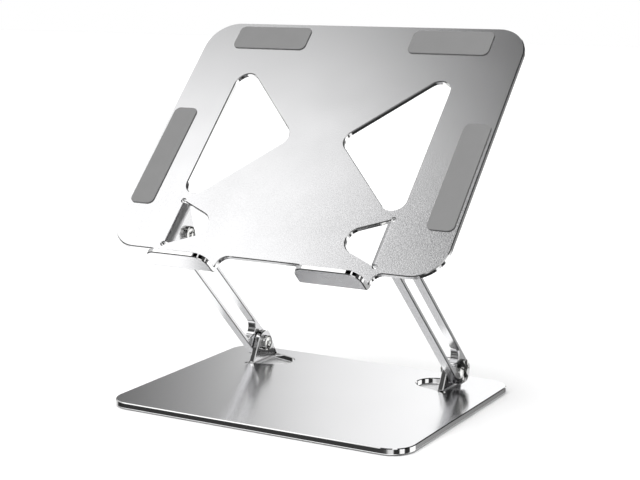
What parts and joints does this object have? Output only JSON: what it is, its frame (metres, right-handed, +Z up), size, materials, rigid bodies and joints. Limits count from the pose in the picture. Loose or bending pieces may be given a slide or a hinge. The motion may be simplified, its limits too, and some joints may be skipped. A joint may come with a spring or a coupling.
{
  "type": "laptop stand",
  "caption": "Folding metal laptop stand: flat base, two slotted swinging arms and a tilting tray with front hooks, grip pads and triangular cut-outs.",
  "frame": {"origin": "on the table, under the middle of the base plate", "axes": "+X to the user's right, +Y to the back, away from the user, +Z up"},
  "size_m": [0.278, 0.192, 0.2792],
  "materials": {
    "tray_aluminium": "bead-blasted and anodised silver, with polished edges",
    "base_aluminium": "satin silver with soft reflections, polished edges",
    "arm_aluminium": "fine satin faces and polished slot",
    "pad_silicone": "matt grey silicone",
    "foot_rubber": "matt black rubber",
    "pivot_steel": "nickel-plated, polished",
    "spring_steel": "plain spring steel",
    "washer_polymer": "black acetal friction washer"
  },
  "bodies": {
    "base": {"base_plate": "base_aluminium", "foot_front_left": "foot_rubber", "foot_front_right": "foot_rubber", "foot_rear_left": "foot_rubber", "foot_rear_right": "foot_rubber", "base_barrel_nut_left": "pivot_steel", "base_barrel_nut_right": "pivot_steel", "base_disc_spring_left": "spring_steel", "base_disc_spring_right": "spring_steel", "base_inner_washer_left": "washer_polymer", "base_inner_washer_right": "washer_polymer", "base_outer_washer_left": "washer_polymer", "base_outer_washer_right": "washer_polymer", "base_cap_screw_left": "pivot_steel", "base_cap_screw_right": "pivot_steel"},
    "left_arm": {"arm_left": "arm_aluminium"},
    "right_arm": {"arm_right": "arm_aluminium"},
    "tray": {"tray_plate": "tray_aluminium", "top_pad_left": "pad_silicone", "top_pad_right": "pad_silicone", "side_pad_left": "pad_silicone", "side_pad_right": "pad_silicone", "tray_barrel_nut_left": "pivot_steel", "tray_barrel_nut_right": "pivot_steel", "tray_disc_spring_left": "spring_steel", "tray_disc_spring_right": "spring_steel", "tray_inner_washer_left": "washer_polymer", "tray_inner_washer_right": "washer_polymer", "tray_outer_washer_left": "washer_polymer", "tray_outer_washer_right": "washer_polymer", "tray_cap_screw_left": "pivot_steel", "tray_cap_screw_right": "pivot_steel"}
  },
  "joints": [
    {"name": "left_arm_hinge", "type": "hinge", "parent": "base", "child": "left_arm", "pos_m": [-0.09185, 0.0645, 0.0187], "axis": [-1, 0, 0], "range_deg": [-33, 20]},
    {"name": "right_arm_hinge", "type": "hinge", "parent": "base", "child": "right_arm", "pos_m": [0.09185, 0.0645, 0.0187], "axis": [-1, 0, 0], "range_deg": [-33, 20]},
    {"name": "tray_hinge", "type": "hinge", "parent": "left_arm", "child": "tray", "pos_m": [-0.09185, -0.04439, 0.12759], "axis": [1, 0, 0], "range_deg": [-80, 20]}
  ],
  "couplings": [
    {"joint": "right_arm_hinge", "follows": "left_arm_hinge", "ratio": 1}
  ]
}
